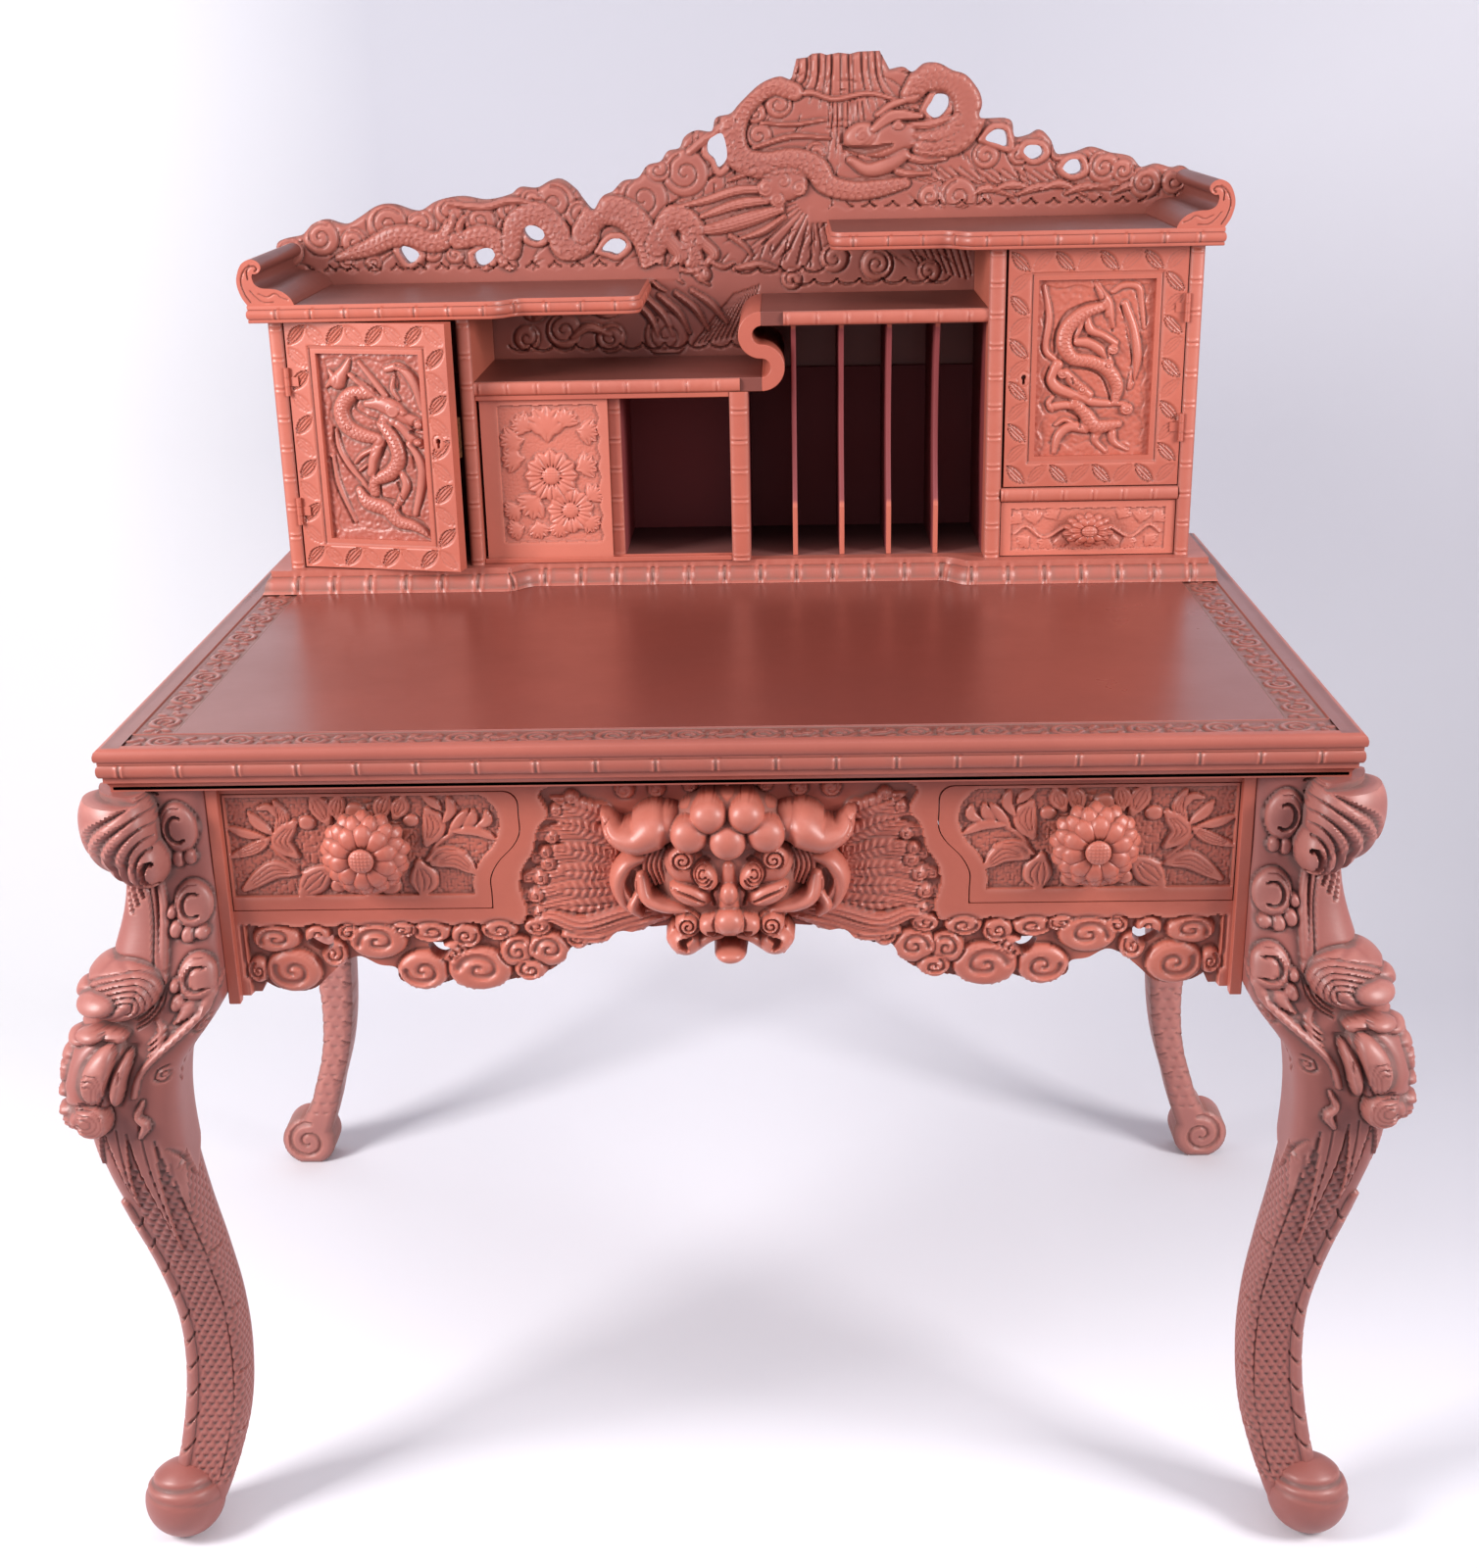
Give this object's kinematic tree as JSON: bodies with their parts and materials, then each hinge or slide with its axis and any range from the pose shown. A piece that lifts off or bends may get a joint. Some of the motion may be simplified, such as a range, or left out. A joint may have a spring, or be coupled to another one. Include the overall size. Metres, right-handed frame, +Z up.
{
  "type": "writing desk",
  "caption": "Carved red lacquer writing desk on cabriole legs, with apron drawers and a low cabinet with doors, letter slots and a pierced gallery",
  "frame": {"origin": "On the floor, under the middle of the whole desk's box", "axes": "+X to the sitter's right, +Y to the back of the desk, +Z up"},
  "size_m": [1.15, 0.7539, 1.2735],
  "materials": {
    "red_lacquer": "satin lacquer over carving",
    "writing_top": "polished lacquer",
    "plain_wood": "plain stained wood",
    "brass_fittings": "aged"
  },
  "bodies": {
    "desk": {"apron_mask": "red_lacquer", "back_apron": "plain_wood", "back_panel": "red_lacquer", "corner_blocks": "plain_wood", "desk_top": "writing_top", "fixed_hinge_leaves": "brass_fittings", "front_apron": "red_lacquer", "front_left_leg": "red_lacquer", "front_right_leg": "red_lacquer", "gallery_board": "red_lacquer", "hinge_pins": "brass_fittings", "hutch_floor": "red_lacquer", "left_drawer_runners": "plain_wood", "left_inner_side": "red_lacquer", "left_outer_side": "red_lacquer", "left_scroll_wing": "red_lacquer", "left_shelf": "red_lacquer", "leg_beads": "red_lacquer", "letter_dividers": "red_lacquer", "lower_mid_shelf": "red_lacquer", "panel_divider": "red_lacquer", "panel_tracks": "red_lacquer", "plinth_moulding": "red_lacquer", "rear_left_leg": "red_lacquer", "rear_right_leg": "red_lacquer", "right_cabinet_rail": "red_lacquer", "right_drawer_runners": "plain_wood", "right_inner_side": "red_lacquer", "right_outer_side": "red_lacquer", "right_scroll_wing": "red_lacquer", "right_shelf": "red_lacquer", "scroll_board": "red_lacquer", "side_aprons": "red_lacquer", "slot_divider": "red_lacquer", "top_under_moulding": "red_lacquer", "upper_mid_shelf": "red_lacquer"},
    "left_drawer": {"left_drawer_front": "red_lacquer", "left_drawer_box": "plain_wood", "left_drawer_base": "plain_wood", "left_drawer_knob": "red_lacquer"},
    "right_drawer": {"right_drawer_front": "red_lacquer", "right_drawer_box": "plain_wood", "right_drawer_base": "plain_wood", "right_drawer_knob": "red_lacquer"},
    "small_drawer": {"small_drawer_front": "red_lacquer", "small_drawer_box": "plain_wood", "small_drawer_knob": "red_lacquer"},
    "left_door": {"left_door_frame": "red_lacquer", "left_door_panel": "red_lacquer", "left_lock_case": "brass_fittings", "left_door_hinge_leaves": "brass_fittings"},
    "right_door": {"right_door_frame": "red_lacquer", "right_door_panel": "red_lacquer", "right_lock_case": "brass_fittings", "right_door_hinge_leaves": "brass_fittings"},
    "left_bolt": {"left_lock_bolt": "brass_fittings"},
    "right_bolt": {"right_lock_bolt": "brass_fittings"},
    "flower_panel": {"sliding_panel": "red_lacquer"}
  },
  "joints": [
    {"name": "left_drawer_slide", "type": "slide", "parent": "desk", "child": "left_drawer", "axis": [0, -1, 0], "range_m": [0, 0.3]},
    {"name": "right_drawer_slide", "type": "slide", "parent": "desk", "child": "right_drawer", "axis": [0, -1, 0], "range_m": [0, 0.3]},
    {"name": "small_drawer_slide", "type": "slide", "parent": "desk", "child": "small_drawer", "axis": [0, -1, 0], "range_m": [0, 0.1]},
    {"name": "left_door_hinge", "type": "hinge", "parent": "desk", "child": "left_door", "pos_m": [-0.4455, 0.182, 0.908], "axis": [0, 0, -1], "range_deg": [-12, 83]},
    {"name": "right_door_hinge", "type": "hinge", "parent": "desk", "child": "right_door", "pos_m": [0.4455, 0.182, 0.972], "axis": [0, 0, 1], "range_deg": [0, 95]},
    {"name": "left_bolt_throw", "type": "slide", "parent": "left_door", "child": "left_bolt", "axis": [0.9781, -0.2079, 0], "range_m": [0, 0.009]},
    {"name": "right_bolt_throw", "type": "slide", "parent": "right_door", "child": "right_bolt", "axis": [-1, 0, 0], "range_m": [0, 0.009]},
    {"name": "flower_panel_slide", "type": "slide", "parent": "desk", "child": "flower_panel", "axis": [1, 0, 0], "range_m": [0, 0.12]}
  ]
}
